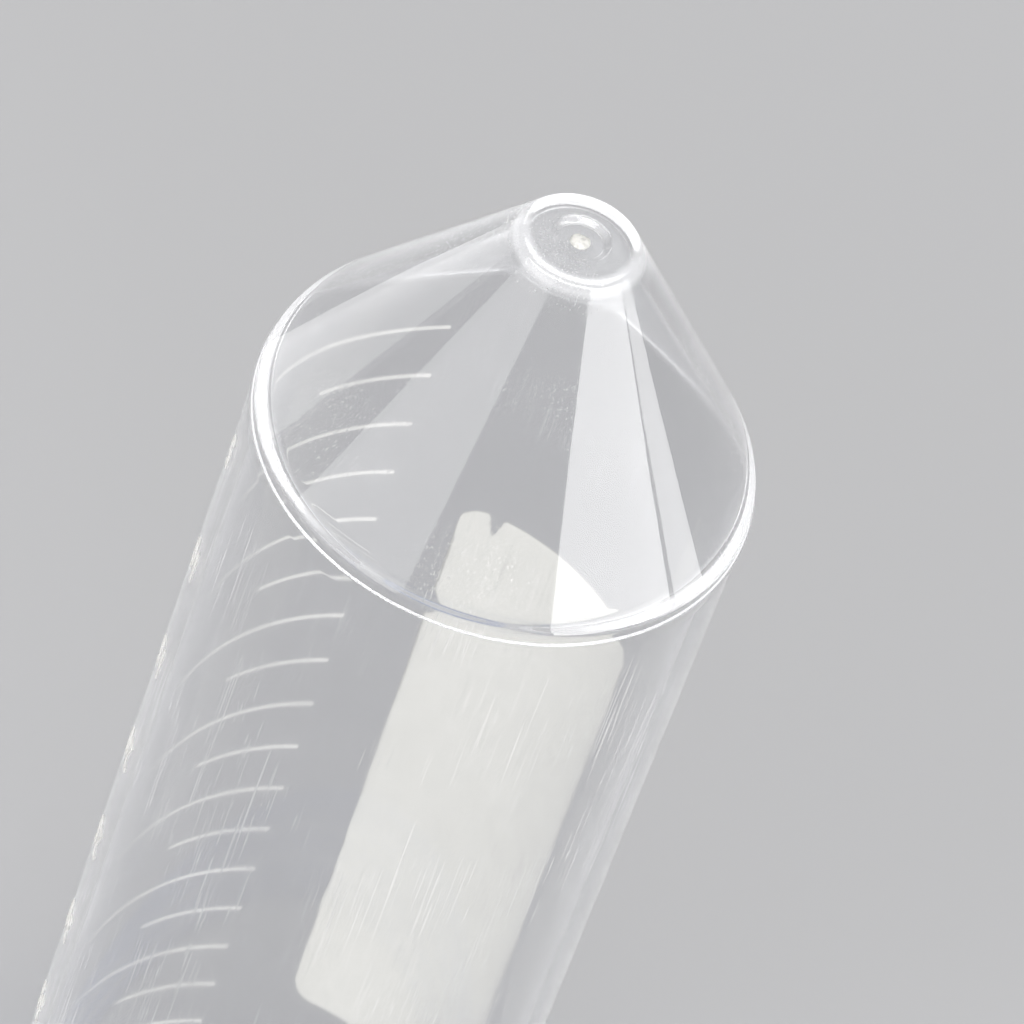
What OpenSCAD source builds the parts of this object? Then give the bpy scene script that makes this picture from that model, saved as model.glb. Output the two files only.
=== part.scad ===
// Graduated plastic tube with a conical end and a screw cap, standing upside down on its cap.
// Millimetres. The origin is the middle of the cap's flat outer face, and +Z runs up the axis to the tip.

/* [Tube] */
// Length of the tube from its rim to its tip
tube_len = 112.7; // [100:0.1:125]
// Height of the conical end, from the ring to the tip
cone_h = 16.9; // [15.5:0.1:18.5]
// Outer diameter of the barrel where it meets the cone
barrel_d = 28.38; // [27.4:0.02:28.98]
// Outer diameter of the barrel where it meets the neck
barrel_top_d = 30.05; // [29:0.01:31]
// Thickness of the barrel wall
wall = 1; // [0.8:0.05:1.1]
// Thickness of the cone wall
cone_wall = 0.85; // [0.7:0.05:1.05]
// How far the ring between barrel and cone stands proud of the barrel
ring_proud = 0.13; // [0.08:0.01:0.3]
// Width of the ring's foot along the axis
ring_w = 0.24; // [0.18:0.02:0.5]
// Distance from the ring to where the cone would meet the barrel
cone_start = 0.7; // [0.6:0.05:1.2]
// Radius of the rounded edge where the barrel turns into the cone
edge_round = 0.95; // [0.5:0.05:1.2]
// Radius of the fillet inside, where the bore turns into the cone
bore_round = 1.6; // [0.4:0.1:2]

/* [Tip] */
// Radius of the bowl inside, at the bottom of the cone
bowl_round = 1; // [0.6:0.1:3]
// Diameter at which the cone would reach the end face
tip_d = 6.5; // [5.6:0.1:7.6]
// Radius of the rounded edge between cone and end face
tip_round = 0.7; // [0.3:0.05:1]
// Thickness of the plastic behind the end face
tip_floor = 1.1; // [1:0.1:2]
// Diameter of the round dimple in the end face
dimple_d = 3.3; // [2.8:0.1:3.8]
// Depth of the dimple
dimple_depth = 0.35; // [0.2:0.05:0.5]
// Diameter of the moulding gate's stub in the middle of the dimple
gate_d = 1.1; // [0.8:0.1:1.5]
// Height of the gate's stub above the floor of the dimple
gate_h = 0.15; // [0.05:0.05:0.3]

/* [Neck] */
// Length of the neck that carries the screw thread
neck_len = 9.8; // [9:0.1:11]
// How far the neck is set in from the end of the barrel
neck_step = 0.175; // [0.1:0.025:0.25]
// Gap between the neck and the cap's bore, in which both screw threads run
thread_room = 0.95; // [0.8:0.05:1.2]
// Width of the bevel on both edges of the rim
rim_bevel = 0.25; // [0.1:0.05:0.35]

/* [Cap] */
// Height of the cap
cap_h = 12.8; // [12:0.1:14]
// Thickness of the cap's flat end
cap_top = 1.5; // [1.2:0.1:2.2]
// Thickness of the cap's skirt between the ribs
cap_wall = 1.25; // [1:0.05:1.6]
// Radius of the rounded edge round the flat end
cap_edge_round = 1; // [0.5:0.1:1.3]
// Height of the plain band at the open edge
band_h = 1.5; // [1:0.1:2.5]
// How far the plain band stands proud of the skirt
band_proud = 0.45; // [0.4:0.05:0.6]
// Width of the bevel that leads the neck into the cap
lead_in = 0.3; // [0.2:0.05:0.6]

/* [Grip ribs] */
// Number of grip ribs
rib_count = 60; // [30:2:72]
// Width of one rib
rib_w = 0.9; // [0.8:0.05:1.1]
// How far a rib stands proud of the skirt
rib_proud = 0.35; // [0.2:0.05:0.35]

/* [Liner] */
// Thickness of the sealing disc
liner_t = 0.8; // [0.5:0.05:1.5]
// Gap between the disc's edge and the cap's bore
liner_gap = 0.3; // [0.2:0.05:0.4]

/* [Scale marks] */
// Height of the first mark from the ring, measured towards the cap
first_mark = 5.35; // [3:0.05:8]
// Volume between two neighbouring marks, in millilitres
mark_step = 2.5; // [1:0.1:5]
// Volume between the first mark and the last one, in millilitres
scale_volume = 45; // [20:5:45]
// Least distance between the last mark and the cap's edge
mark_margin = 1; // [0.5:0.1:5]
// Width of one line
line_w = 0.28; // [0.2:0.02:0.5]
// Direction of the marks' common end, in degrees round the axis
mark_end_deg = 113.4; // [105:0.1:125]
// Sweep of a long mark, in degrees round the axis
long_mark_deg = 56; // [45:0.5:60]
// Sweep of a short mark, in degrees round the axis
short_mark_deg = 29; // [20:0.5:40]
// How far the print leans round the axis, in degrees for each millimetre up
print_lean = 0.04; // [0:0.01:0.06]
// Height at which the leaning print is where its directions say
print_level = 58; // [40:1:80]

/* [Writing patch] */
// Width of the patch across its flat, from side to side
patch_w = 14.8; // [10:0.1:16]
// Height of the patch
patch_h = 49; // [30:0.5:60]
// Distance from the ring to the nearer edge of the patch
patch_start = 20.8; // [12:0.1:23]
// Direction of the patch's middle, in degrees round the axis
patch_deg = 63; // [55:0.5:70]
// Radius of the patch's corners
patch_round = 1.5; // [0.5:0.1:3]

/* [Ink] */
// Thickness of a printed layer
ink_t = 0.06; // [0.04:0.01:0.12]
// Gap left between the barrel and a printed layer
ink_gap = 0.02; // [0.01:0.01:0.04]

/* [Hidden] */
$fn = 96;
arc_steps = 6;
cut = 1;

// Heights along the axis
rim_z = cap_top + liner_t;
shoulder_z = rim_z + neck_len;
tip_z = rim_z + tube_len;
ring_z = tip_z - cone_h;
edge_z = ring_z + cone_start;
floor_z = tip_z - tip_floor;

// Radii, and the slopes of the barrel and the cone
barrel_r = barrel_d / 2;
draft = (barrel_top_d / 2 - barrel_r) / (ring_z - shoulder_z);
ring_r = barrel_r + ring_proud;
neck_r = barrel_top_d / 2 - neck_step;
tip_r = tip_d / 2;
dimple_r = dimple_d / 2;
gate_r = gate_d / 2;
cone_slope = (barrel_at(edge_z) - tip_r) / (tip_z - edge_z);
cone_skin = cone_wall * sqrt(1 + cone_slope * cone_slope);
cone_bore_foot = tip_r + cone_slope * (tip_z - ring_z) - cone_skin;
bore_end_z = ring_z + (cone_bore_foot - (barrel_r - wall)) / (cone_slope - draft);
floor_r = tip_r + cone_slope * tip_floor - cone_skin;
cap_bore_r = neck_r + thread_room;
skirt_r = cap_bore_r + cap_wall;

// Outer radius of the barrel at height z, and the bore's radius there
function barrel_at(z) = barrel_r + draft * (ring_z - z);
function bore_at(z) = barrel_at(z) - wall;

// Distance from the ring to the mark that lies a volume above the first one, in a bore that widens evenly
function mark_up(volume) =
    let (start = bore_at(ring_z - first_mark), cubed = pow(start, 3) + 3 * draft * volume * 1000 / PI)
    first_mark + (pow(cubed, 1 / 3) - start) / draft;

// Points of a round of radius r that blends the edges a-b and b-c
function unit(v) = v / norm(v);
function blend(a, b, c, r) =
    let (
        u = unit(a - b),
        v = unit(c - b),
        half = acos(u * v) / 2,
        mid = b + unit(u + v) * r / sin(half),
        from = b + u * r / tan(half) - mid,
        to = b + v * r / tan(half) - mid,
        start = atan2(from.y, from.x),
        turn = (atan2(to.y, to.x) - start + 540) % 360 - 180
    )
    [for (i = [0:arc_steps]) mid + r * [cos(start + turn * i / arc_steps), sin(start + turn * i / arc_steps)]];

// Corners of the tube's wall in the radius-height plane
rim_out = [neck_r, rim_z];
rim_in = [bore_at(rim_z), rim_z];
neck_top = [neck_r, shoulder_z];
shoulder = [barrel_at(shoulder_z), shoulder_z];
ring_line = [
    [barrel_at(ring_z - ring_w / 2), ring_z - ring_w / 2],
    [ring_r, ring_z - ring_w / 6],
    [ring_r, ring_z + ring_w / 6],
    [barrel_at(ring_z + ring_w / 2), ring_z + ring_w / 2]
];
edge_corner = [barrel_at(edge_z), edge_z];
tip_corner = [tip_r, tip_z];
dimple_edge = [dimple_r, tip_z];
dimple_foot = [dimple_r - dimple_depth, tip_z - dimple_depth];
bore_corner = [bore_at(bore_end_z), bore_end_z];
floor_corner = [floor_r, floor_z];

// The bowl at the bottom of the cone is as round as asked for, or as round as fits between the cone's walls
floor_round = min(bowl_round, 0.9 * floor_r * (sqrt(1 + cone_slope * cone_slope) + cone_slope));

module tube_profile() {
    polygon(concat(
        // rim and neck
        [rim_in + [rim_bevel, 0], rim_out - [rim_bevel, 0], rim_out + [0, rim_bevel]],
        [neck_top, shoulder],
        // ring and cone
        ring_line,
        blend(ring_line[3], edge_corner, tip_corner, edge_round),
        // end face with its dimple and the gate's stub
        blend(edge_corner, tip_corner, dimple_edge, tip_round),
        [dimple_edge, dimple_foot],
        [[gate_r, dimple_foot.y], [gate_r, dimple_foot.y + gate_h], [0, dimple_foot.y + gate_h]],
        // inside, from the floor of the cone back to the rim
        [[0, floor_z]],
        blend([0, floor_z], floor_corner, bore_corner, floor_round),
        blend(floor_corner, bore_corner, rim_in, bore_round),
        [rim_in + [0, rim_bevel]]
    ));
}

module tube() {
    color([0.84, 0.85, 0.91, 0.5])
        rotate_extrude()
            tube_profile();
}

module cap_profile() {
    polygon(concat(
        [[0, 0]],
        blend([0, 0], [skirt_r, 0], [skirt_r, cap_h], cap_edge_round),
        [[skirt_r, cap_h - band_h - band_proud], [skirt_r + band_proud, cap_h - band_h]],
        [[skirt_r + band_proud, cap_h], [cap_bore_r + lead_in, cap_h]],
        [[cap_bore_r, cap_h - lead_in], [cap_bore_r, cap_top], [0, cap_top]]
    ));
}

// One grip rib: a slim round bar sunk in the skirt, which runs out near the rounded edge and ends in the band
module grip_rib() {
    rib_r = rib_w / 2;
    sunk = rib_r - rib_proud;
    rib_foot = cap_edge_round + rib_w;
    translate([skirt_r - sunk, 0, rib_foot]) {
        cylinder(r = rib_r, h = cap_h - band_h / 2 - rib_foot);
        mirror([0, 0, 1])
            cylinder(r1 = rib_r, r2 = sunk / 2, h = 0.8 * rib_w);
    }
}

module screw_cap() {
    color([0.13, 0.36, 0.72])
        union() {
            rotate_extrude()
                cap_profile();
            for (i = [0:rib_count - 1])
                rotate(360 * i / rib_count)
                    grip_rib();
        }
}

module cap_liner() {
    color([0.93, 0.93, 0.9])
        translate([0, 0, cap_top])
            cylinder(r = cap_bore_r - liner_gap, h = liner_t);
}

// A thin printed band round the barrel between two heights, over a sweep in degrees
module ink_band(low, high, sweep) {
    rotate_extrude(angle = sweep)
        polygon([
            [barrel_at(low) + ink_gap, low],
            [barrel_at(low) + ink_gap + ink_t, low],
            [barrel_at(high) + ink_gap + ink_t, high],
            [barrel_at(high) + ink_gap, high]
        ]);
}

// Every second mark from a volume above the first one on, as far as the barrel shows below the cap's edge
module marks(from_volume, sweep) {
    for (volume = [from_volume:2 * mark_step:scale_volume]) {
        mark_z = ring_z - mark_up(volume);
        if (mark_z > cap_h + mark_margin)
            rotate(mark_end_deg + print_lean * (mark_z - print_level))
                ink_band(mark_z - line_w / 2, mark_z + line_w / 2, sweep);
    }
}

module long_marks() {
    color("white")
        marks(0, long_mark_deg);
}

module short_marks() {
    color("white")
        marks(mark_step, short_mark_deg);
}

// Flat outline of the patch, which is then pressed on to the barrel
module patch_outline() {
    union() {
        square([patch_w - 2 * patch_round, patch_h], center = true);
        square([patch_w, patch_h - 2 * patch_round], center = true);
        for (x = [-1, 1], y = [-1, 1])
            translate([x * (patch_w / 2 - patch_round), y * (patch_h / 2 - patch_round)])
                circle(r = patch_round);
    }
}

module writing_patch() {
    high = ring_z - patch_start;
    low = high - patch_h;
    middle = (low + high) / 2;
    turn = patch_deg + print_lean * (middle - print_level);
    tilt = atan(print_lean * PI / 180 * barrel_at(middle));
    color([0.93, 0.93, 0.92])
        intersection() {
            ink_band(low - cut, high + cut, 360);
            rotate([90, 0, turn + 90])
                translate([0, middle, 0])
                    linear_extrude(barrel_at(low) + cut)
                        rotate(-tilt)
                            patch_outline();
        }
}

tube();
screw_cap();
cap_liner();
long_marks();
short_marks();
writing_patch();
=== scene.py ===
"""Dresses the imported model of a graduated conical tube: plastic, threads, print, floor and light."""

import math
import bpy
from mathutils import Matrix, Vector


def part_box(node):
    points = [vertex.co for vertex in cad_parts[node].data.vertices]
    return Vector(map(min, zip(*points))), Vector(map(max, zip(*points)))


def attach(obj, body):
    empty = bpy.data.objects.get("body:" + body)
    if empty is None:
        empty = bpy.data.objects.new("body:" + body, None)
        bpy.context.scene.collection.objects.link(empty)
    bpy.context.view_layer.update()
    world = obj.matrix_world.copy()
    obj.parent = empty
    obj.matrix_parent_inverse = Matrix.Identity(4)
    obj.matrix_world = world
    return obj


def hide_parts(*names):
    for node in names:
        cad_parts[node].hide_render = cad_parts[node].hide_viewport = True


bl_info = {
    "name": "Graduated conical tube",
    "version": (1, 0, 0),
    "blender": (4, 5, 0),
    "location": "3D View > Sidebar > Tube",
    "description": "Models a graduated conical tube with its screw cap around a packed frame",
    "category": "Object",
}

from contextlib import contextmanager
from typing import NamedTuple

import bpy
from bpy.props import FloatProperty, FloatVectorProperty, IntProperty, PointerProperty
from mathutils import Euler, Matrix, Vector, noise

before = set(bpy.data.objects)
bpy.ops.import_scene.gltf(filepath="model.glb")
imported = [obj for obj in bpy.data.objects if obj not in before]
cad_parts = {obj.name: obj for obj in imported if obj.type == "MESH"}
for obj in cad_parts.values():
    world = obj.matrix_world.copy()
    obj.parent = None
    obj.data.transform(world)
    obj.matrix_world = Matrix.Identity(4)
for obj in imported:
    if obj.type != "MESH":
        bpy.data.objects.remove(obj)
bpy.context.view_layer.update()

MM = 0.001
FULL_TURN = 2 * math.pi

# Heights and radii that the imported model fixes
RIM_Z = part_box("tube")[0].z
TIP_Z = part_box("tube")[1].z
CAP_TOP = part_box("cap_liner")[0].z
CAP_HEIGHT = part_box("screw_cap")[1].z
CAP_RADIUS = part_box("screw_cap")[1].x
LINER_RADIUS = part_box("cap_liner")[1].x
FIRST_MARK_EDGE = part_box("long_marks")[1].z
PATCH_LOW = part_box("writing_patch")[0].z
PATCH_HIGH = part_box("writing_patch")[1].z

# Depths of a ray between which a painted milky glow sets in: emission that stands in for light passed on
# inside a wall
PAINTED_GLOW_RAYS = (3, 6)
# Radii, and depths under the end face, between which the painted glow in the tip's thick rim sets in, an
# emission that stands in for its light
RIM_PAINTED_GLOW_RADII = (2.6 * MM, 3.1 * MM)
RIM_PAINTED_GLOW_DEPTHS = (0.9 * MM, 0.4 * MM)
# Depths under the end face between which the tip's skin turns rougher
ROUGH_DEPTHS = (1.9 * MM, 1.2 * MM)
# How far each ring that rounds a rib's foot drops, in millimetres, and how much it shrinks
RIB_FOOT_RINGS = ((0.25, 0.9), (0.2, 0.7), (0.12, 0.4))
# Height of a digit as a share of the font's size
DIGIT_HEIGHT = 0.73


def length(name, description, millimetres):
    """A size that the user sees in scene units."""
    default = millimetres * MM
    return FloatProperty(name=name, description=description, default=default, min=0, unit="LENGTH")


def turn(name, description, degrees):
    """An angle that the user sees in degrees."""
    default = math.radians(degrees)
    return FloatProperty(name=name, description=description, default=default, subtype="ANGLE")


def number(name, description, default):
    """A plain number."""
    return FloatProperty(name=name, description=description, default=default)


def whole(name, description, default, least=24):
    """A whole number."""
    return IntProperty(name=name, description=description, default=default, min=least)


def share(name, description, default):
    """A plain number from 0 to 1."""
    return FloatProperty(name=name, description=description, default=default, min=0, max=1)


def colour(name, description, rgb):
    """A colour, as it renders in plain light."""
    rgba = (*rgb, 1)
    return FloatVectorProperty(name=name, description=description, default=rgba, size=4, subtype="COLOR")


class TubeSizes(bpy.types.PropertyGroup):
    """Sizes of the moulded tube."""

    cone_height: length("Cone height", "From the ring to the tip", 16.9)
    barrel_radius: length("Barrel radius", "Outside, where the barrel meets the cone", 14.19)
    barrel_top_radius: length("Barrel top radius", "Outside, where the barrel meets the neck", 15.025)
    wall: length("Wall", "Thickness of the barrel", 1)
    cone_wall: length("Cone wall", "Thickness of the cone", 0.85)
    ring_proud: length("Ring height", "How far the ring stands proud of the barrel", 0.13)
    ring_width: length("Ring width", "Width of the ring's foot", 0.24)
    cone_start: length("Cone start", "From the ring to where the cone would meet the barrel", 0.7)
    edge_round: length("Edge", "Radius where the barrel turns into the cone", 0.95)
    bore_round: length("Bore fillet", "Radius where the bore turns into the cone", 1.6)
    swell: length("Swell", "How much the barrel's wall thickens inside, just below the cone", 0.09)
    swell_height: length("Swell height", "Height over which the wall thickens", 2.6)
    swell_round: length("Swell round", "Radius of the wall's bends where it thickens", 12)
    tip_radius: length("Tip radius", "Where the cone would reach the end face", 3.25)
    tip_round: length("Tip edge", "Radius of the rounded edge of the tip", 0.7)
    tip_floor: length("Tip floor", "Thickness behind the end face", 1.1)
    bowl_round: length("Bowl", "Radius of the bowl at the bottom of the cone", 1)
    dimple_radius: length("Dimple radius", "Radius of the dimple in the end face", 1.65)
    dimple_depth: length("Dimple depth", "Depth of the dimple", 0.35)
    neck_length: length("Neck length", "Length of the threaded neck", 9.8)
    neck_step: length("Neck step", "How far the neck is set in from the barrel", 0.175)
    rim_bevel: length("Rim bevel", "Bevel on both edges of the rim", 0.25)
    segments: whole("Segments", "Facets round the tube", 384)


class ThreadSizes(bpy.types.PropertyGroup):
    """Sizes of the screw thread on the neck and in the cap."""

    lead: length("Lead", "Lift of the tube in one full turn", 7.2)
    starts: whole("Starts", "Ridges side by side", 2, 1)
    depth: length("Depth", "Height of a ridge", 0.7)
    crest: length("Crest", "Width of a ridge at its crest", 0.45)
    foot: length("Foot", "Width of a ridge at its foot", 1.35)
    fade: length("Run-out", "Rise over which a ridge runs out at each end", 0.7)
    row: length("Row", "Height of one row of faces on a threaded wall", 0.2)


class CapSizes(bpy.types.PropertyGroup):
    """Sizes of the screw cap and its sealing disc."""

    thread_room: length("Thread room", "Gap between neck and bore, in which the threads run", 0.95)
    edge_round: length("Edge", "Radius of the edge round the flat end", 1)
    band_height: length("Band", "Height of the plain band at the open edge", 1.5)
    band_proud: length("Band height", "How far the band stands proud of the skirt", 0.45)
    lead_in: length("Lead-in", "Bevel that leads the neck in", 0.3)
    rib_count: whole("Ribs", "Number of grip ribs", 60, 12)
    rib_width: length("Rib width", "Width of one grip rib", 0.9)
    rib_proud: length("Rib height", "How far a rib stands proud of the skirt", 0.35)
    segments: whole("Segments", "Facets round the cap", 240)
    disc_edge: length("Disc edge", "Radius of the sealing disc's edges", 0.12)
    disc_segments: whole("Disc segments", "Facets round the disc", 160)


class PrintSizes(bpy.types.PropertyGroup):
    """Sizes of the printed marks, numbers and writing patch."""

    ink: length("Ink", "Thickness of the printed layer", 0.06)
    gap: length("Ink gap", "Gap between the barrel and the ink", 0.02)
    line: length("Line", "Width of one mark", 0.28)
    ragged: length("Ragged edge", "How far the edges of the print wander", 0.02)
    ragged_wave: length("Ragged waves", "Size of the waves in the edges of the print", 0.3)
    step: number("Step", "Volume between two marks, in millilitres", 2.5)
    first: number("First mark", "Volume at the first mark, in millilitres", 5)
    last: number("Last mark", "Volume at the last mark, in millilitres", 50)
    end: turn("Mark end", "Direction of the marks' common end", 113.4)
    long_sweep: turn("Long mark", "Sweep of a long mark", 56)
    short_sweep: turn("Short mark", "Sweep of a short mark", 29)
    number_edge: turn("Number edge", "Direction of the side of the numbers that faces the marks", 188)
    number_height: length("Number height", "Height of the digits", 2.6)
    number_narrow: share("Narrow digits", "Width of the digits as a share of the font's own", 0.65)
    lean: number("Lean", "Degrees that print leans in one millimetre up", 0.04)
    straight: length("Straight", "Height at which the leaning print is where it should be", 58)
    patch_width: length("Patch width", "Width of the patch across its flat", 14.8)
    patch_round: length("Patch corners", "Radius of the patch's corners", 1.5)
    patch_row: length("Patch row", "Height of one row of faces on the patch", 0.7)
    patch_steps: whole("Patch steps", "Facets across the patch", 160)
    worn: length("Worn sides", "How far wear has moved the patch's long sides in and out", 0.18)
    worn_wave: length("Worn waves", "Size of the waves that wear has left in them", 3)
    patch_middle: turn("Patch middle", "Direction of the patch's middle", 63)
    nick: turn("Nick", "Direction of the nick that wear has left in the patch's edge", 84.5)
    nick_width: length("Nick width", "Width of the nick", 1.2)
    nick_depth: length("Nick depth", "Depth of the nick", 1.6)


class Finishes(bpy.types.PropertyGroup):
    """Colours of the plastics, the inks and the floor."""

    tube: colour("Tube", "Natural polypropylene", (0.85, 0.852, 0.861))
    cap: colour("Cap", "Blue polyethylene", (0.045, 0.16, 0.5))
    liner: colour("Liner", "White foam", (0.86, 0.86, 0.83))
    ink: colour("Ink", "White print", (1, 0.99, 0.94))
    patch: colour("Patch", "White writing patch", (0.88, 0.868, 0.805))
    floor: colour("Floor", "Pale floor and background", (0.57, 0.57, 0.58))
    clarity: share("Clarity", "How much of the light goes through the tube's skin", 0.965)
    # Strength of the painted glow, an emission that stands in for light spread inside the walls
    milk: share("Milky glow", "Brightness of light that is spread inside the walls", 0.75)
    passing: share("Passing light", "How much of the lamps' light each skin passes", 0.98)
    # Strength of the painted glow in the tip's thick rim
    rim_glow: share("Rim glow", "Brightness of light that is spread in the thick rim of the tip", 0.4)
    # Painted highlight: an emission along the scratches that stands in for the light they catch
    scratch_glow: share("Scratch glow", "Brightness of light that the scratches catch", 0.14)
    number_cover: share("Number ink", "How well the ink of the numbers covers", 0.3)
    gloss: share("Roughness", "Roughness of the tube's skin", 0.03)
    tip_rough: share("Tip roughness", "How much rougher the skin of the tip is", 0.12)


class Stage(bpy.types.PropertyGroup):
    """Where the camera stands, and how bright the light is."""

    elevation: turn("Elevation", "Height of the camera above the horizon", 47.05)
    roll: turn("Roll", "Lean of the tube in the picture, clockwise", 20.96)
    distance: length("Distance", "From the camera to the ring, along its view", 357.4)
    shift_right: length("Shift right", "How far the camera stands right of the ring", 0.42)
    shift_down: length("Shift down", "How far the camera stands below the ring", 3.8)
    lens: number("Lens", "Focal length in millimetres", 228.7)
    world_light: number("World", "Strength of the even light", 0.5)
    world_through: share("World in plastic", "Brightness of the world through clear plastic", 0.7)
    floor_size: length("Floor", "Side of the floor", 6000)


GROUPS = {
    "tube_sizes": TubeSizes,
    "thread_sizes": ThreadSizes,
    "cap_sizes": CapSizes,
    "print_sizes": PrintSizes,
    "finishes": Finishes,
    "stage": Stage,
}


# ---------------------------------------------------------------- shapes


def polar(radius, angle, height):
    """A point from its radius, direction and height."""
    return Vector((radius * math.cos(angle), radius * math.sin(angle), height))


def smooth(x):
    """0 to 1 with soft ends."""
    x = min(1, max(0, x))
    return x * x * (3 - 2 * x)


def corner(before, at, after, radius, steps=6):
    """Points of a round that blends two edges of an outline."""
    before, at, after = Vector(before), Vector(at), Vector(after)
    u = (before - at).normalized()
    v = (after - at).normalized()
    half = u.angle(v) / 2
    middle = at + (u + v).normalized() * radius / math.sin(half)
    start = at + u * radius / math.tan(half) - middle
    end = at + v * radius / math.tan(half) - middle
    sweep = start.angle_signed(end)
    return [middle + Matrix.Rotation(-sweep * i / steps, 2) @ start for i in range(steps + 1)]


def braced(points, apart=0.06 * MM):
    """The outline with a point close to each end of its long edges, so that they shade straight."""
    out = [points[0]]
    for here, there in zip(points, points[1:]):
        step = there - here
        if step.length > 8 * apart:
            out += [here + step.normalized() * apart, there - step.normalized() * apart]
        out.append(there)
    return out


def rows(radius_at, low, high, row):
    """Points up a wall from one height to another, a row apart."""
    count = max(1, round(abs(high - low) / row))
    heights = [low + (high - low) * i / count for i in range(count + 1)]
    return [Vector((radius_at(z), z)) for z in heights]


@contextmanager
def editing():
    """Edit mode on the active mesh, for as long as a block of work lasts."""
    bpy.ops.object.mode_set(mode="EDIT")
    yield
    bpy.ops.object.mode_set(mode="OBJECT")


def draw_outline(name, points):
    """A mesh of one open outline, drawn beside the axis by extruding a vertex from point to point."""
    places = [Vector((p[0], 0, p[1])) for p in points]
    bpy.ops.mesh.primitive_plane_add(size=MM, location=(0, 0, 0))
    piece = bpy.context.object
    piece.name = name
    piece.data.name = name
    with editing():
        bpy.ops.mesh.merge(type="CENTER")
        bpy.ops.transform.translate(value=places[0])
        for here, there in zip(places, places[1:]):
            bpy.ops.mesh.extrude_vertices_move(TRANSFORM_OT_translate={"value": there - here})
    return piece


def close_seams():
    """Merges what meets in the mesh being edited, and turns its faces outwards."""
    bpy.ops.mesh.select_all(action="SELECT")
    bpy.ops.mesh.remove_doubles(threshold=0.001 * MM)
    bpy.ops.mesh.normals_make_consistent(inside=False)


def spin_outline(name, points, segments):
    """A turned solid: an outline that starts and ends on the axis, spun a full turn."""
    piece = draw_outline(name, points)
    with editing():
        bpy.ops.mesh.select_all(action="SELECT")
        bpy.ops.mesh.spin(steps=segments, angle=FULL_TURN, center=(0, 0, 0), axis=(0, 0, 1))
        close_seams()
    return piece


def spin_band(name, corners, start, sweep, steps):
    """A strip of print: a small closed outline spun through part of a turn."""
    piece = draw_outline(name, corners)
    with editing():
        bpy.ops.mesh.select_all(action="SELECT")
        bpy.ops.mesh.edge_face_add()
        bpy.ops.transform.rotate(value=-start, orient_axis="Z", center_override=(0, 0, 0))
        bpy.ops.mesh.spin(steps=steps, angle=-sweep, center=(0, 0, 0), axis=(0, 0, 1))
        close_seams()
    return piece


def soften(piece, degrees=32):
    """Smooth shading, with edges sharper than an angle kept."""
    bpy.ops.object.select_all(action="DESELECT")
    piece.select_set(True)
    bpy.context.view_layer.objects.active = piece
    bpy.ops.object.shade_smooth_by_angle(angle=math.radians(degrees))


def join(name, pieces):
    """Several meshes as one piece."""
    bpy.ops.object.select_all(action="DESELECT")
    for piece in pieces:
        piece.select_set(True)
    bpy.context.view_layer.objects.active = pieces[0]
    bpy.ops.object.join()
    pieces[0].name = name
    pieces[0].data.name = name
    return pieces[0]


def copy_turned(piece, angle):
    """A copy with its own mesh, turned about the axis."""
    copy = piece.copy()
    copy.data = piece.data.copy()
    copy.data.transform(Matrix.Rotation(angle, 4, "Z"))
    bpy.context.scene.collection.objects.link(copy)
    return copy


def dress(piece, finish, body, slot, *nodes):
    """Gives a finished piece its material and its body, and hides the nodes that it stands for."""
    piece.data.materials.clear()
    piece.data.materials.append(bpy.data.materials[finish])
    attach(piece, body)
    if nodes:
        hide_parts(*nodes)


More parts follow.
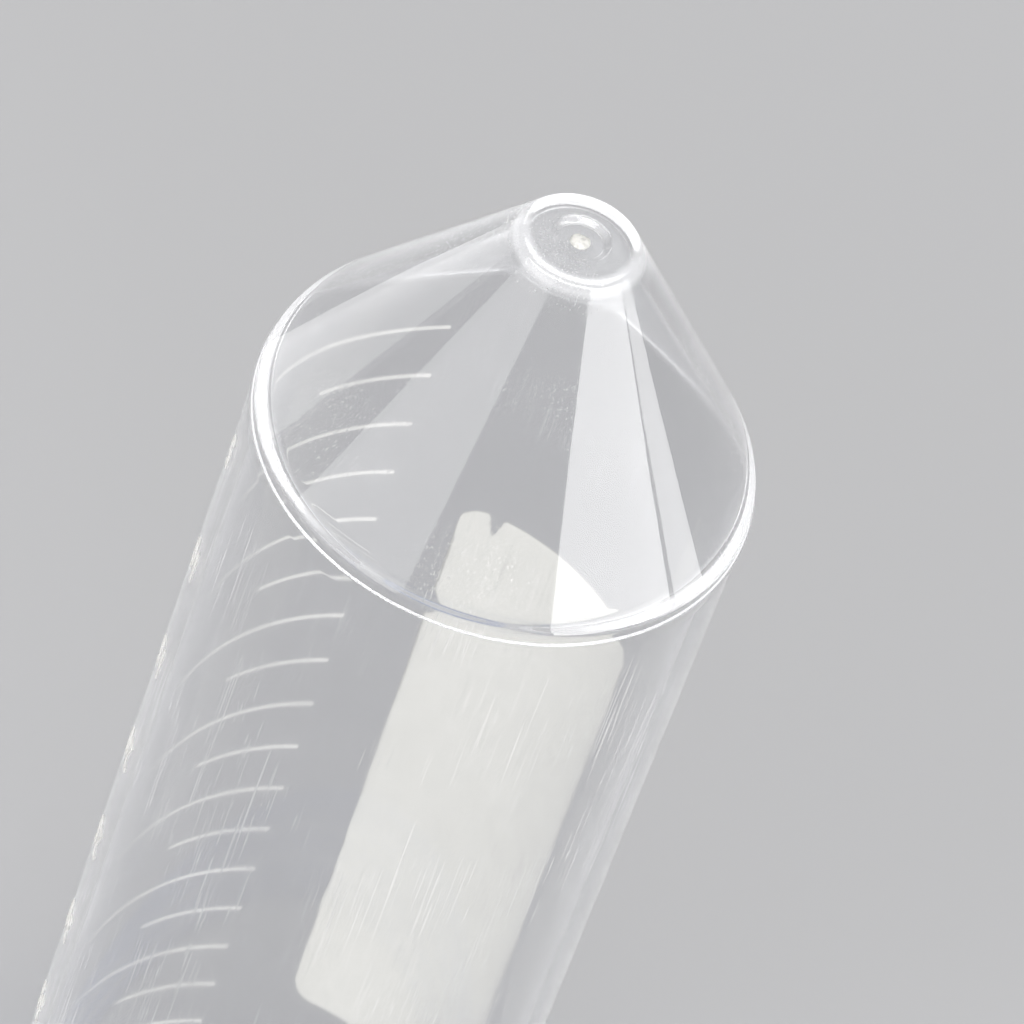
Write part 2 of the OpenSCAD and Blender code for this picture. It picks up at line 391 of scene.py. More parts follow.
class Wall:
    """The tube's wall as straight lines and corners, worked out from its sizes and the frame."""

    def __init__(self, sizes):
        self.sizes = sizes
        self.ring_z = TIP_Z - sizes.cone_height
        self.shoulder_z = RIM_Z + sizes.neck_length
        self.draft = (sizes.barrel_top_radius - sizes.barrel_radius) / (self.ring_z - self.shoulder_z)
        self.neck_radius = sizes.barrel_top_radius - sizes.neck_step
        self.ring_radius = sizes.barrel_radius + sizes.ring_proud
        self.edge_z = self.ring_z + sizes.cone_start
        self.slope = (self.barrel(self.edge_z) - sizes.tip_radius) / (TIP_Z - self.edge_z)
        skin = sizes.cone_wall * math.hypot(1, self.slope)
        foot = sizes.tip_radius + self.slope * sizes.cone_height - skin
        bore_gap = foot - (sizes.barrel_radius - sizes.wall)
        self.bore_end_z = self.ring_z + bore_gap / (self.slope - self.draft)
        self.floor_z = TIP_Z - sizes.tip_floor
        self.floor_radius = sizes.tip_radius + self.slope * sizes.tip_floor - skin

    def barrel(self, z):
        """Outer radius of the barrel at a height."""
        return self.sizes.barrel_radius + self.draft * (self.ring_z - z)

    def bore(self, z):
        """Radius of the bore at a height."""
        return self.barrel(z) - self.sizes.wall

    def outline(self, row):
        """Points of the outline, from the tip's outer middle round the rim to the cone's inside."""
        s = self.sizes
        dimple_z = TIP_Z - s.dimple_depth
        dimple_foot = (s.dimple_radius - s.dimple_depth, dimple_z)
        dimple_edge = (s.dimple_radius, TIP_Z)
        tip_corner = (s.tip_radius, TIP_Z)
        edge_corner = (self.barrel(self.edge_z), self.edge_z)
        foot, crest = s.ring_width / 2, s.ring_width / 6
        ring = [
            (self.barrel(self.ring_z + foot), self.ring_z + foot),
            (self.ring_radius, self.ring_z + crest),
            (self.ring_radius, self.ring_z - crest),
            (self.barrel(self.ring_z - foot), self.ring_z - foot),
        ]
        shoulder = (s.barrel_top_radius, self.shoulder_z)
        neck_top = (self.neck_radius, self.shoulder_z)
        rim_out = (self.neck_radius, RIM_Z)
        rim_in = (self.bore(RIM_Z), RIM_Z)
        bore_corner = (self.bore(self.bore_end_z) - s.swell, self.bore_end_z + s.swell / self.slope)
        swell_start = (self.bore(bore_corner[1] - s.swell_height), bore_corner[1] - s.swell_height)
        swell_turn = bore_corner[1] - s.swell_height / 2
        swelling = (self.bore(swell_turn) - s.swell / 4, swell_turn)
        floor_corner = (self.floor_radius, self.floor_z)
        ring_round = s.ring_width / 8
        return [
            Vector((0, dimple_z)),
            *corner((0, dimple_z), dimple_foot, dimple_edge, s.dimple_depth / 2),
            *corner(dimple_foot, dimple_edge, tip_corner, s.dimple_depth / 2),
            *corner(dimple_edge, tip_corner, edge_corner, s.tip_round, 8),
            *corner(tip_corner, edge_corner, ring[0], s.edge_round, 8),
            Vector(ring[0]),
            *corner(ring[0], ring[1], ring[2], ring_round, 4),
            *corner(ring[1], ring[2], ring[3], ring_round, 4),
            Vector(ring[3]),
            Vector(shoulder),
            Vector(neck_top),
            *rows(lambda z: self.neck_radius, self.shoulder_z - row, RIM_Z + s.rim_bevel, row),
            Vector((rim_out[0] - s.rim_bevel, RIM_Z)),
            Vector((rim_in[0] + s.rim_bevel, RIM_Z)),
            Vector((rim_in[0], RIM_Z + s.rim_bevel)),
            *corner(rim_in, swell_start, swelling, s.swell_round, 4),
            *corner(swell_start, swelling, bore_corner, s.swell_round, 4),
            *corner(swelling, bore_corner, floor_corner, s.bore_round),
            *corner(bore_corner, floor_corner, (0, self.floor_z), s.bowl_round),
            Vector((0, self.floor_z)),
        ]


def thread_rise(sizes, angle, z, middle, low, high):
    """Height of a right-hand thread's ridge at a place on a wall, with both ends run out."""
    pitch = sizes.lead / sizes.starts
    off = (z - middle - sizes.lead * angle / FULL_TURN + pitch / 2) % pitch - pitch / 2
    flank = smooth((sizes.foot / 2 - abs(off)) / ((sizes.foot - sizes.crest) / 2))
    ridge_z = z - off
    run_out = smooth((ridge_z - low) / sizes.fade) * smooth((high - ridge_z) / sizes.fade)
    return sizes.depth * flank * run_out


def neck_thread(wall, sizes):
    """Heights of the middle, the lower end and the upper end of the thread on the neck."""
    low = RIM_Z + 1.5 * sizes.foot
    return (low + wall.shoulder_z) / 2, low, wall.shoulder_z - sizes.foot / 2


def cut_thread(piece, sizes, wall_radius, outward, middle, low, high):
    """Raises a thread on a plain wall of a turned piece, by moving the wall's own vertices."""
    for vertex in piece.data.vertices:
        radius = math.hypot(vertex.co.x, vertex.co.y)
        if abs(radius - wall_radius) > 0.01 * MM or not low < vertex.co.z < high:
            continue
        angle = math.atan2(vertex.co.y, vertex.co.x)
        rise = outward * thread_rise(sizes, angle, vertex.co.z, middle, low, high)
        vertex.co.x *= (radius + rise) / radius
        vertex.co.y *= (radius + rise) / radius


# ---------------------------------------------------------------- materials


def node_group(name, inputs, outputs):
    """An empty shader node group with named sockets, and its input and output nodes."""
    group = bpy.data.node_groups.new(name, "ShaderNodeTree")
    for socket, value in inputs:
        made = group.interface.new_socket(socket, in_out="INPUT", socket_type="NodeSocketFloat")
        made.default_value = value
    for socket, kind in outputs:
        group.interface.new_socket(socket, in_out="OUTPUT", socket_type=kind)
    return group, group.nodes.new("NodeGroupInput"), group.nodes.new("NodeGroupOutput")


def feed(node, inputs):
    """Gives a node's inputs their values, or links them to sockets."""
    for key, value in inputs.items():
        if isinstance(value, bpy.types.NodeSocket):
            node.id_data.links.new(value, node.inputs[key])
        else:
            node.inputs[key].default_value = value


def add(tree, kind, inputs=None, **settings):
    """A node with its settings and inputs."""
    node = tree.nodes.new(kind)
    for key, value in settings.items():
        setattr(node, key, value)
    feed(node, inputs or {})
    return node


def reckon(tree, operation, *values):
    """What a sum on sockets and plain numbers comes to."""
    return add(tree, "ShaderNodeMath", dict(enumerate(values)), operation=operation).outputs[0]


def ramp(tree, factor, low, high):
    """A mask that runs from 0 to 1 between two values."""
    inputs = {"Value": factor, "From Min": low, "From Max": high}
    return add(tree, "ShaderNodeMapRange", inputs, interpolation_type="SMOOTHSTEP").outputs["Result"]


def scratch_group():
    """Hairline scratches along the axis and slanting across it, and specks: a mask from 0 to 1."""
    amounts = [("Along", 1.0), ("Across", 1.0), ("Specks", 1.0)]
    group, entry, leave = node_group("hairline_scratches", amounts, [("Mask", "NodeSocketFloat")])
    place = add(group, "ShaderNodeTexCoord").outputs["Object"]
    # Marks come in zones
    zones = add(group, "ShaderNodeTexNoise", {"Vector": place, "Scale": 130.0, "Detail": 1.0})
    kept = ramp(group, zones.outputs["Fac"], 0.44, 0.6)
    total = None
    # Each kind's amount, the turn of its noise, its fineness across and along, and its threshold
    for amount, turned, fine, long, low in (
        ("Along", (0.02, 0, 0), 8000, 40, 0.66),
        ("Across", (0.5, 0.7, 0.3), 6000, 260, 0.73),
        ("Across", (-0.9, 0.4, 0.8), 6000, 300, 0.73),
        ("Specks", (0, 0, 0), 5000, 3500, 0.79),
    ):
        turns = {"Vector": place, "Rotation": turned, "Scale": (fine, fine, long)}
        mapped = add(group, "ShaderNodeMapping", turns).outputs["Vector"]
        streaks = add(group, "ShaderNodeTexNoise", {"Vector": mapped, "Scale": 1.0, "Detail": 1.0})
        line = ramp(group, streaks.outputs["Fac"], low, low + 0.05)
        line = reckon(group, "MULTIPLY", line, kept)
        line = reckon(group, "MULTIPLY", line, entry.outputs[amount])
        total = line if total is None else reckon(group, "MAXIMUM", line, total)
    feed(leave, {"Mask": total})
    return group


def mottle_group():
    """Soft uneven patches, as in moulded plastic or laid ink: a mask from 0 to 1 and a height."""
    group, entry, leave = node_group(
        "soft_mottle", [("Scale", 60.0), ("Low", 0.4), ("High", 0.6)],
        [("Mask", "NodeSocketFloat"), ("Height", "NodeSocketFloat")],
    )
    place = add(group, "ShaderNodeTexCoord").outputs["Object"]
    size = {"Vector": place, "Scale": entry.outputs["Scale"], "Detail": 4.0}
    cloud = add(group, "ShaderNodeTexNoise", size).outputs["Fac"]
    mask = ramp(group, cloud, entry.outputs["Low"], entry.outputs["High"])
    feed(leave, {"Mask": mask, "Height": cloud})
    return group


def use(tree, group, **inputs):
    """A node group placed in a material with its own values."""
    node = tree.nodes.new("ShaderNodeGroup")
    node.node_tree = group
    feed(node, inputs)
    return node


def between(tree, mask, low, high):
    """A value that runs between two numbers with a mask."""
    inputs = {"Value": mask, "To Min": low, "To Max": high}
    return add(tree, "ShaderNodeMapRange", inputs).outputs["Result"]


def tinted(tree, mask, first, second):
    """A colour that runs between two colours with a mask."""
    inputs = {"A": first, "B": second, "Factor": mask}
    return add(tree, "ShaderNodeMix", inputs, data_type="RGBA").outputs["Result"]


def raised(tree, height, strength, distance):
    """A bump of a given depth."""
    inputs = {"Height": height, "Strength": strength, "Distance": distance}
    return add(tree, "ShaderNodeBump", inputs).outputs["Normal"]


def material(name, **shader):
    """The tree and shader of a new material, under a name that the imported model's own don't have."""
    made = bpy.data.materials.new(name)
    made.use_nodes = True
    bsdf = made.node_tree.nodes["Principled BSDF"]
    feed(bsdf, {key.replace("_", " "): value for key, value in shader.items()})
    return made.node_tree, bsdf


def shaded(rgba, factor):
    """The same colour, darker or lighter."""
    return (*(min(1, c * factor) for c in rgba[:3]), 1)


def let_lamps_through(tree, bsdf, rgba):
    """Lets the lamps light what is inside clear plastic, with the share that a skin passes."""
    path = add(tree, "ShaderNodeLightPath")
    clear = add(tree, "ShaderNodeBsdfTransparent", {"Color": rgba})
    both = add(tree, "ShaderNodeMixShader", {"Fac": path.outputs["Is Shadow Ray"]})
    feed(both, {1: bsdf.outputs[0], 2: clear.outputs[0]})
    feed(tree.nodes["Material Output"], {"Surface": both.outputs[0]})


def clear_plastic(finishes, scratches, mottle):
    """Natural polypropylene: clear but milky, with fine scratches, a slightly uneven skin, and a painted
    glow in its walls, in the tip's rim and along the scratches.
    """
    tree, bsdf = material(
        "tube_polypropylene", IOR=1.49,
        Transmission_Weight=finishes.clarity, Emission_Strength=finishes.milk,
    )
    skin = use(tree, mottle, Scale=90, Low=0.35, High=0.65).outputs["Mask"]
    marks = use(tree, scratches, Along=1, Across=1, Specks=1).outputs["Mask"]
    colours = tinted(tree, skin, finishes.tube, shaded(finishes.tube, 0.98))
    place = add(tree, "ShaderNodeTexCoord").outputs["Object"]
    height = add(tree, "ShaderNodeSeparateXYZ", {"Vector": place}).outputs["Z"]
    flat = add(tree, "ShaderNodeMapping", {"Vector": place, "Scale": (1, 1, 0)}).outputs["Vector"]
    out = add(tree, "ShaderNodeVectorMath", {0: flat}, operation="LENGTH").outputs["Value"]
    # Painted glow: where light has passed inside a wall again and again, the base colour fades to black
    # and an emission in the tube's colour stands in for the milky light
    painted_deep_glow = ramp(tree, add(tree, "ShaderNodeLightPath").outputs["Ray Depth"], *PAINTED_GLOW_RAYS)
    # The thick rounded rim of the tip gets a painted glow too, an emission that stands in for the light
    # that meets it
    rim = between(tree, ramp(tree, out, *RIM_PAINTED_GLOW_RADII), 0, finishes.rim_glow)
    above = ramp(tree, height, *(TIP_Z - depth for depth in RIM_PAINTED_GLOW_DEPTHS))
    glow = reckon(tree, "MAXIMUM", reckon(tree, "MULTIPLY", rim, above), painted_deep_glow)
    # The scratches add a painted highlight: emission along them stands in for the light that they catch
    glow = reckon(tree, "MULTIPLY_ADD", marks, finishes.scratch_glow, glow)
    # The tip and the scratches are rougher than the rest
    rough = between(tree, skin, finishes.gloss, finishes.gloss + 0.02)
    tip = ramp(tree, height, *(TIP_Z - depth for depth in ROUGH_DEPTHS))
    rough = reckon(tree, "MULTIPLY_ADD", tip, finishes.tip_rough, rough)
    rough = reckon(tree, "MULTIPLY_ADD", marks, 0.2, rough)
    black = (0, 0, 0, 1)
    feed(bsdf, {
        "Base Color": tinted(tree, painted_deep_glow, colours, black),
        "Emission Color": tinted(tree, glow, black, finishes.tube),
        "Roughness": rough,
        "Normal": raised(tree, marks, 0.1, 0.01 * MM),
    })
    let_lamps_through(tree, bsdf, (*[finishes.passing] * 3, 1))


def printed_ink(name, rgba, scratches, mottle, wear, cover=1.0):
    """White print on plastic: slightly uneven, matt, more or less covering, worn in fine scratches."""
    tree, bsdf = material(name, Roughness=0.7, Specular_IOR_Level=0.15)
    uneven = use(tree, mottle, Scale=700, Low=0.3, High=0.7)
    marks = use(tree, scratches, Along=wear, Across=wear, Specks=wear)
    feed(bsdf, {
        "Base Color": tinted(tree, uneven.outputs["Mask"], shaded(rgba, 0.96), rgba),
        "Alpha": between(tree, marks.outputs["Mask"], cover, 0.35 * cover),
        "Normal": raised(tree, uneven.outputs["Height"], 0.3, 0.02 * MM),
    })


def cap_plastic(finishes, scratches, mottle):
    """Blue moulded polyethylene with a fine satin grain and rougher rubbed scratches."""
    tree, bsdf = material("cap_polyethylene", IOR=1.5)
    grain = use(tree, mottle, Scale=2500, Low=0.3, High=0.7)
    clouds = use(tree, mottle, Scale=60, Low=0.35, High=0.65)
    marks = use(tree, scratches, Along=0.3, Across=0.6, Specks=0.6)
    dark, light = shaded(finishes.cap, 0.93), shaded(finishes.cap, 1.05)
    feed(bsdf, {
        "Base Color": tinted(tree, clouds.outputs["Mask"], dark, light),
        "Roughness": between(tree, marks.outputs["Mask"], 0.34, 0.5),
        "Normal": raised(tree, grain.outputs["Height"], 0.25, 0.02 * MM),
    })


def liner_foam(finishes, mottle):
    """White closed-cell foam with a fine pebbled skin."""
    tree, bsdf = material("foam_skin", Roughness=0.7)
    cells = use(tree, mottle, Scale=1800, Low=0.4, High=0.6)
    shade = shaded(finishes.liner, 0.94)
    feed(bsdf, {
        "Base Color": tinted(tree, cells.outputs["Mask"], shade, finishes.liner),
        "Normal": raised(tree, cells.outputs["Height"], 0.6, 0.05 * MM),
    })


def gate_plastic(finishes, mottle):
    """Torn polypropylene where the moulding gate broke off: white and rough."""
    tree, bsdf = material("gate_scar", IOR=1.49, Transmission_Weight=0.25)
    tear = use(tree, mottle, Scale=2600, Low=0.42, High=0.54)
    dark, light = shaded(finishes.ink, 0.7), shaded(finishes.ink, 0.95)
    feed(bsdf, {
        "Base Color": tinted(tree, tear.outputs["Mask"], dark, light),
        "Roughness": between(tree, tear.outputs["Mask"], 0.3, 0.6),
        "Normal": raised(tree, tear.outputs["Height"], 0.8, 0.1 * MM),
    })


# ---------------------------------------------------------------- operators


class TUBE_OT_finishes(bpy.types.Operator):
    """Builds the materials of the plastics and the inks"""

    bl_idname = "tube.finishes"
    bl_label = "Finishes"

    def execute(self, context):
        finishes = context.scene.finishes
        scratches = scratch_group()
        mottle = mottle_group()
        clear_plastic(finishes, scratches, mottle)
        cap_plastic(finishes, scratches, mottle)
        liner_foam(finishes, mottle)
        gate_plastic(finishes, mottle)
        printed_ink("line_print", finishes.ink, scratches, mottle, 0.2)
        printed_ink("number_print", finishes.ink, scratches, mottle, 0.2, finishes.number_cover)
        printed_ink("patch_print", finishes.patch, scratches, mottle, 0.5)
        return {"FINISHED"}


class TUBE_OT_moulding(bpy.types.Operator):
    """Turns the tube's wall and raises the thread on its neck"""

    bl_idname = "tube.moulding"
    bl_label = "Tube"

    def execute(self, context):
        sizes = context.scene.tube_sizes
        threads = context.scene.thread_sizes
        wall = Wall(sizes)
        piece = spin_outline("clear_tube", braced(wall.outline(threads.row)), sizes.segments)
        cut_thread(piece, threads, wall.neck_radius, 1, *neck_thread(wall, threads))
        soften(piece)
        dress(piece, "tube_polypropylene", "tube", "tube_plastic", "tube")
        return {"FINISHED"}


class TUBE_OT_gate_scar(bpy.types.Operator):
    """Makes the rough stub that the moulding gate leaves in the dimple"""

    bl_idname = "tube.gate_scar"
    bl_label = "Gate scar"

    def execute(self, context):
        sizes = context.scene.tube_sizes
        radius = sizes.dimple_radius / 3
        foot_z = TIP_Z - sizes.dimple_depth
        bpy.ops.mesh.primitive_ico_sphere_add(subdivisions=4, radius=radius, location=(0, 0, foot_z))
        piece = context.object
        piece.name = "gate_scar"
        bpy.ops.object.transform_apply(location=True)
        lump_size, lumpiness, squash = 0.35 * MM, 0.12, 0.35
        for vertex in piece.data.vertices:
            lump = noise.noise(vertex.co / lump_size) * lumpiness
            vertex.co.z = foot_z + (vertex.co.z - foot_z) * squash
            vertex.co.xy *= 1 + lump
            vertex.co.z += lump * radius * 0.6
        soften(piece, 60)
        dress(piece, "gate_scar", "tube", "tube_plastic")
        return {"FINISHED"}


class TUBE_OT_cap(bpy.types.Operator):
    """Turns the screw cap, cuts its thread and sets its grip ribs"""

    bl_idname = "tube.cap"
    bl_label = "Screw cap"

    def execute(self, context):
        sizes = context.scene.cap_sizes
        threads = context.scene.thread_sizes
        wall = Wall(context.scene.tube_sizes)
        bore = wall.neck_radius + sizes.thread_room
        skirt = CAP_RADIUS - sizes.band_proud
        band_z = CAP_HEIGHT - sizes.band_height
        edge = sizes.lead_in / 2
        band_foot = (skirt, band_z - sizes.band_proud)
        band_low, band_high = (CAP_RADIUS, band_z), (CAP_RADIUS, CAP_HEIGHT)
        outline = [
            Vector((0, 0)),
            *corner((0, 0), (skirt, 0), (skirt, band_z), sizes.edge_round),
            Vector(band_foot),
            *corner(band_foot, band_low, band_high, edge),
            *corner(band_low, band_high, (bore, CAP_HEIGHT), edge),
            Vector((bore + sizes.lead_in, CAP_HEIGHT)),
            *rows(lambda z: bore, CAP_HEIGHT - sizes.lead_in, CAP_TOP, threads.row),
            Vector((0, CAP_TOP)),
        ]
        shell = spin_outline("screw_cap_shell", braced(outline), sizes.segments)
        # The cap's ridges run half-way between those of the neck
        middle = neck_thread(wall, threads)[0] + threads.lead / threads.starts / 2
        cut_thread(shell, threads, bore, -1, middle, RIM_Z + threads.foot, CAP_HEIGHT - threads.foot / 2)
        ribs = self.ribs(sizes, skirt, band_z)
        piece = join("screw_cap_shell", [shell, *ribs])
        soften(piece)
        dress(piece, "cap_polyethylene", "cap", "cap_plastic", "screw_cap")
        return {"FINISHED"}

    def ribs(self, sizes, skirt, band_z):
        """One rounded bar, shaped from a cylinder, and its copies round the skirt."""
        radius = sizes.rib_width / 2
        foot_z = sizes.edge_round + radius
        top_z = band_z + sizes.band_height / 2
        place = (skirt + sizes.rib_proud - radius, 0, (foot_z + top_z) / 2)
        bpy.ops.mesh.primitive_cylinder_add(
            vertices=16, radius=radius, depth=top_z - foot_z, location=place
        )
        rib = bpy.context.object
        bpy.ops.object.transform_apply(location=True)
        with editing():
            bpy.ops.mesh.select_all(action="DESELECT")
        for face in rib.data.polygons:
            face.select = face.normal.z < -0.9
        with editing():
            for drop, size in RIB_FOOT_RINGS:
                bpy.ops.mesh.extrude_region_move(TRANSFORM_OT_translate={"value": (0, 0, -drop * MM)})
                bpy.ops.transform.resize(value=(size, size, 1))
        copies = [copy_turned(rib, FULL_TURN * i / sizes.rib_count) for i in range(1, sizes.rib_count)]
        return [rib, *copies]


class TUBE_OT_liner(bpy.types.Operator):
    """Makes the loose sealing disc"""

    bl_idname = "tube.liner"
    bl_label = "Sealing disc"

    def execute(self, context):
        sizes = context.scene.cap_sizes
        edge = sizes.disc_edge
        outline = [
            Vector((0, CAP_TOP)),
            *corner((0, CAP_TOP), (LINER_RADIUS, CAP_TOP), (LINER_RADIUS, RIM_Z), edge),
            *corner((LINER_RADIUS, CAP_TOP), (LINER_RADIUS, RIM_Z), (0, RIM_Z), edge),
            Vector((0, RIM_Z)),
        ]
        piece = spin_outline("sealing_disc", braced(outline), sizes.disc_segments)
        soften(piece)
        dress(piece, "foam_skin", "liner", "liner_foam", "cap_liner")
        return {"FINISHED"}


def mark_height(wall, sizes, volume):
    """Height of the mark for a volume, counted from the first mark up a bore that widens evenly."""
    first_z = FIRST_MARK_EDGE - sizes.line / 2
    start = wall.bore(first_z) / MM
    cubed = start ** 3 + 3 * wall.draft * (volume - sizes.first) * 1000 / math.pi
    return first_z - (cubed ** (1 / 3) - start) / wall.draft * MM


def ink_corners(wall, sizes, low, high, row=None):
    """The closed outline of a printed layer between two heights, in rows where asked for."""
    row = row or high - low
    foot = sizes.gap
    face = sizes.gap + sizes.ink
    return [
        *rows(lambda z: wall.barrel(z) + face, low, high, row),
        *rows(lambda z: wall.barrel(z) + foot, high, low, row),
    ]


def ragged(place, sizes):
    """How far the uneven edge of the print is off at a place."""
    return noise.noise(place / sizes.ragged_wave) * sizes.ragged


def lean(piece, sizes, level=None):
    """Turns print round the barrel with height, all of it alike where a level is given."""
    for vertex in piece.data.vertices:
        up = (vertex.co.z if level is None else level) - sizes.straight
        vertex.co.rotate(Euler((0, 0, math.radians(sizes.lean) * up / MM)))


class TUBE_OT_marks(bpy.types.Operator):
    """Prints the long and the short marks"""

    bl_idname = "tube.marks"
    bl_label = "Scale marks"

    def execute(self, context):
        sizes = context.scene.print_sizes
        wall = Wall(context.scene.tube_sizes)
        count = round((sizes.last - sizes.first) / sizes.step) + 1
        strips = {"long_marks": [], "short_marks": []}
        for i in range(count):
            name = "short_marks" if i % 2 else "long_marks"
            sweep = sizes.short_sweep if i % 2 else sizes.long_sweep
            middle = mark_height(wall, sizes, sizes.first + i * sizes.step)
            corners = ink_corners(wall, sizes, middle - sizes.line / 2, middle + sizes.line / 2)
            steps = max(8, round(math.degrees(sweep) * 2))
            strip = spin_band(name, corners, sizes.end, sweep, steps)
            for vertex in strip.data.vertices:
                vertex.co.z += ragged(vertex.co, sizes)
            lean(strip, sizes, middle)
            strips[name].append(strip)
        for node, pieces in strips.items():
            piece = join(node + "_print", pieces)
            dress(piece, "line_print", "tube", "mark_ink", node)
        return {"FINISHED"}


class TUBE_OT_numbers(bpy.types.Operator):
    """Prints the plain numbers beside the long marks"""

    bl_idname = "tube.numbers"
    bl_label = "Scale numbers"

    def execute(self, context):
        sizes = context.scene.print_sizes
        wall = Wall(context.scene.tube_sizes)
        numbers = range(round(sizes.first), round(sizes.last) + 1, round(2 * sizes.step))
        pieces = [self.digits(wall, sizes, volume) for volume in numbers]
        piece = join("scale_numbers_print", pieces)
        dress(piece, "number_print", "tube", "mark_ink")
        return {"FINISHED"}

    def digits(self, wall, sizes, volume):
        """One number, made a mesh and wrapped on the barrel with its head towards the cap."""
        bpy.ops.object.text_add(location=(0, 0, 0))
        text = bpy.context.object
        text.data.body = str(volume)
        text.data.align_x = "RIGHT"
        text.data.align_y = "CENTER"
        text.data.size = sizes.number_height / DIGIT_HEIGHT
        text.data.extrude = sizes.ink / 2
        bpy.ops.object.convert(target="MESH")
        piece = bpy.context.object
        with editing():
            bpy.ops.mesh.select_all(action="SELECT")
            bpy.ops.mesh.remove_doubles(threshold=0.001 * MM)
            bpy.ops.mesh.subdivide(number_cuts=2)
        middle = mark_height(wall, sizes, volume)
        tops = [v.co.y for v in piece.data.vertices]
        lift = (max(tops) + min(tops)) / 2
        for vertex in piece.data.vertices:
            across, up, out = vertex.co
            across *= sizes.number_narrow
            z = middle - (up - lift)
            radius = wall.barrel(z) + sizes.gap + sizes.ink / 2 + out
            vertex.co = polar(radius, sizes.number_edge - across / wall.barrel(z), z)
        lean(piece, sizes, middle)
        return piece


class TUBE_OT_patch(bpy.types.Operator):
    """Prints the writing patch"""

    bl_idname = "tube.patch"
    bl_label = "Writing patch"

    def execute(self, context):
        sizes = context.scene.print_sizes
        wall = Wall(context.scene.tube_sizes)
        half = sizes.patch_width / 2
        sweep = 2 * math.asin(half / wall.barrel((PATCH_LOW + PATCH_HIGH) / 2))
        corners = ink_corners(wall, sizes, PATCH_LOW, PATCH_HIGH, sizes.patch_row)
        start = sizes.patch_middle - sweep / 2
        piece = spin_band("writing_patch_print", corners, start, sweep, sizes.patch_steps)
        middle_z = (PATCH_LOW + PATCH_HIGH) / 2
        for vertex in piece.data.vertices:
            angle = math.atan2(vertex.co.y, vertex.co.x)
            radius = wall.barrel(vertex.co.z)
            across = abs(radius * math.sin(angle - sizes.patch_middle))
            into = max(0, min(1, (across - (half - sizes.patch_round)) / sizes.patch_round))
            cut = sizes.patch_round * (1 - math.sqrt(1 - into * into))
            cut += sizes.ragged + ragged(vertex.co, sizes)
            if vertex.co.z > middle_z:
                off = abs(angle - sizes.nick) * radius / (sizes.nick_width / 2)
                cut += sizes.nick_depth * smooth(1 - off)
            # The rows in between move in proportion
            along = (vertex.co.z - middle_z) / (PATCH_HIGH - middle_z)
            side = math.copysign(1, angle - sizes.patch_middle)
            worn = noise.noise(Vector((side, 0, vertex.co.z / sizes.worn_wave))) * sizes.worn / radius
            vertex.co.z -= cut * along
            vertex.co.rotate(Euler((0, 0, worn * smooth(across / half))))
        lean(piece, sizes)
        soften(piece)
        dress(piece, "patch_print", "tube", "patch_ink", "writing_patch")
        return {"FINISHED"}


class SoftBox(NamedTuple):
    """A soft box that faces the tip, with its angles as seen from there in degrees."""

    start: float  # Direction of one side
    end: float  # Direction of the other side
    height: float  # Its middle over the level of the tip
    half_tall: float  # From its middle to its upper edge
    distance: float  # From the tip in metres
    bright: float  # Brightness of its face
    through: float = 1.0  # Brightness where it is seen through a wall


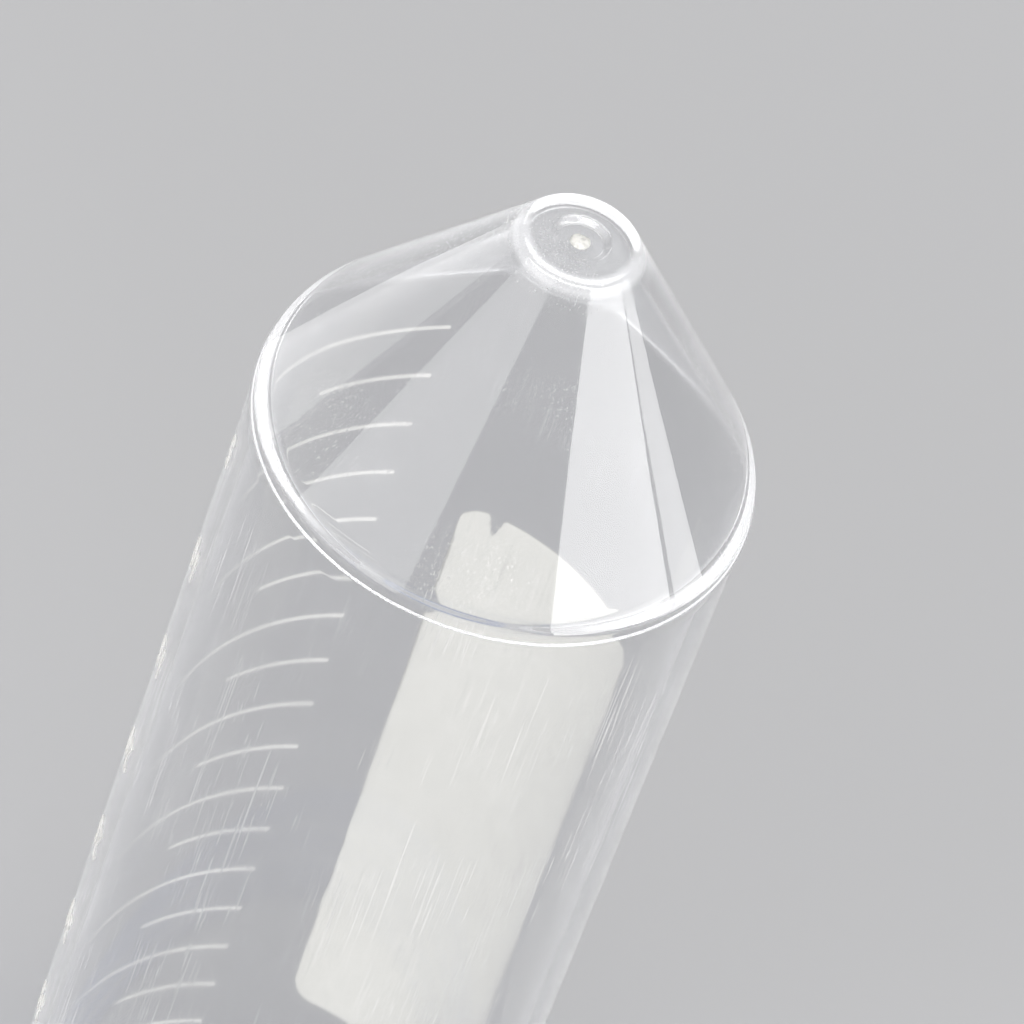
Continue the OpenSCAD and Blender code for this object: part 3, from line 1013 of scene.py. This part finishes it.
class TUBE_OT_stage(bpy.types.Operator):
    """Lays the pale floor, sets the soft lights and stands the camera"""

    bl_idname = "tube.stage"
    bl_label = "Stage"

    def execute(self, context):
        stage = context.scene.stage
        self.floor(stage, context.scene.finishes)
        self.world(stage, context.scene.finishes)
        self.lamps()
        self.camera(stage)
        context.scene.view_settings.view_transform = "Standard"
        return {"FINISHED"}

    def floor(self, stage, finishes):
        """A wide pale floor."""
        bpy.ops.mesh.primitive_plane_add(size=stage.floor_size, location=(0, 0, 0))
        floor = bpy.context.object
        floor.name = "floor"
        material("floor_paint", Base_Color=finishes.floor, Roughness=0.9, Specular_IOR_Level=0)
        floor.data.materials.append(bpy.data.materials["floor_paint"])

    def world(self, stage, finishes):
        """Even light from all round, seen in the floor's colour, and paler through clear plastic."""
        world = bpy.data.worlds.new("studio")
        bpy.context.scene.world = world
        world.use_nodes = True
        tree = world.node_tree
        path = add(tree, "ShaderNodeLightPath")
        plain, passed = ((*[light] * 3, 1) for light in (stage.world_light, stage.world_through))
        colours = tinted(tree, path.outputs["Is Transmission Ray"], plain, passed)
        for seen in ("Is Glossy Ray", "Is Camera Ray"):
            colours = tinted(tree, path.outputs[seen], colours, finishes.floor)
        feed(tree.nodes["Background"], {"Color": colours})

    def lamps(self):
        """Soft boxes: some light the object, and some only shine in its gloss and clear walls."""
        lighting = {
            "key_box": SoftBox(-128, -68, 22, 16, 2, 3.7),
            "top_box": SoftBox(30, 90, 62, 30, 2, 1),
        }
        shining = {
            "right_strip": SoftBox(-46.7, 0.8, 8, 22, 0.6, 7.3, 0.72),
            "edge_strip": SoftBox(2.6, 16, 1, 22, 0.6, 4.6, 0.72),
            "left_strip": SoftBox(-159.5, -107, 13, 22, 0.6, 2.4, 0.8),
            "far_left_strip": SoftBox(132, 176, -6, 15, 0.25, 1.3, 0.85),
            "overhead_strip": SoftBox(50, 130, 82, 24, 0.6, 6, 0.85),
            "dimple_strip": SoftBox(-146, -34, 44, 9, 0.6, 9, 0.85),
            "back_strip": SoftBox(98, 128, 27, 7, 0.6, 6, 0.85),
        }
        for name, soft_box in lighting.items():
            lamp = self.box(name, soft_box)
            lamp.visible_glossy = False
            lamp.visible_transmission = False
        for name, soft_box in shining.items():
            lamp = self.box(name, soft_box)
            lamp.visible_diffuse = False
            self.dim_through(lamp, soft_box.through / soft_box.bright)

    def box(self, name, soft_box):
        """The area lamp of one soft box, which faces the tip."""
        direction = math.radians(soft_box.start + soft_box.end) / 2
        half_wide = math.radians(soft_box.end - soft_box.start) / 2
        height = math.radians(soft_box.height)
        distance = soft_box.distance
        place = polar(distance * math.cos(height), direction, TIP_Z + distance * math.sin(height))
        facing = (Vector((0, 0, TIP_Z)) - place).to_track_quat("-Z", "Y").to_euler()
        bpy.ops.object.light_add(type="AREA", location=place, rotation=facing)
        lamp = bpy.context.object
        lamp.name = name
        lamp.data.shape = "RECTANGLE"
        lamp.data.size = 2 * distance * math.tan(half_wide)
        lamp.data.size_y = 2 * distance * math.tan(math.radians(soft_box.half_tall))
        lamp.data.energy = soft_box.bright * math.pi * lamp.data.size * lamp.data.size_y
        lamp.visible_camera = False
        return lamp

    def dim_through(self, lamp, part):
        """Lets clear walls pass on only a part of what a soft box shows in their gloss."""
        lamp.data.use_nodes = True
        tree = lamp.data.node_tree
        path = add(tree, "ShaderNodeLightPath")
        strength = between(tree, ramp(tree, path.outputs["Ray Depth"], 2, 3), 1, part)
        feed(tree.nodes["Emission"], {"Strength": strength})

    def camera(self, stage):
        """A long lens that looks down on the tip, leaning so that the tube leans the other way."""
        e = stage.elevation
        view = Vector((0, math.cos(e), -math.sin(e)))
        level = Vector((1, 0, 0))
        upright = Vector((0, math.sin(e), math.cos(e)))
        right = level * math.cos(stage.roll) + upright * math.sin(stage.roll)
        up = upright * math.cos(stage.roll) - level * math.sin(stage.roll)
        ring = Vector((0, 0, TIP_Z - bpy.context.scene.tube_sizes.cone_height))
        place = ring - view * stage.distance + right * stage.shift_right - up * stage.shift_down
        facing = Matrix((right, up, -view)).transposed().to_euler()
        bpy.ops.object.camera_add(location=place, rotation=facing)
        camera = bpy.context.object
        camera.data.lens = stage.lens
        camera.data.clip_start = 0.01
        bpy.context.scene.camera = camera


OPERATORS = [
    TUBE_OT_finishes,
    TUBE_OT_moulding,
    TUBE_OT_gate_scar,
    TUBE_OT_cap,
    TUBE_OT_liner,
    TUBE_OT_marks,
    TUBE_OT_numbers,
    TUBE_OT_patch,
    TUBE_OT_stage,
]


class TUBE_PT_panel(bpy.types.Panel):
    """Lists the steps and their sizes"""

    bl_idname = "TUBE_PT_panel"
    bl_label = "Graduated tube"
    bl_space_type = "VIEW_3D"
    bl_region_type = "UI"
    bl_category = "Tube"

    def draw(self, context):
        for name, group in GROUPS.items():
            box = self.layout.box()
            for setting in group.__annotations__:
                box.prop(getattr(context.scene, name), setting)
        for operator in OPERATORS:
            self.layout.operator(operator.bl_idname)


def register():
    for cls in [*GROUPS.values(), *OPERATORS, TUBE_PT_panel]:
        bpy.utils.register_class(cls)
    for name, group in GROUPS.items():
        setattr(bpy.types.Scene, name, PointerProperty(type=group))


def unregister():
    for name in GROUPS:
        delattr(bpy.types.Scene, name)
    for cls in reversed([*GROUPS.values(), *OPERATORS, TUBE_PT_panel]):
        bpy.utils.unregister_class(cls)


def main():
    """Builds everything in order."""
    register()
    for operator in OPERATORS:
        family, name = operator.bl_idname.split(".")
        getattr(getattr(bpy.ops, family), name)()


if __name__ == "__main__":
    main()
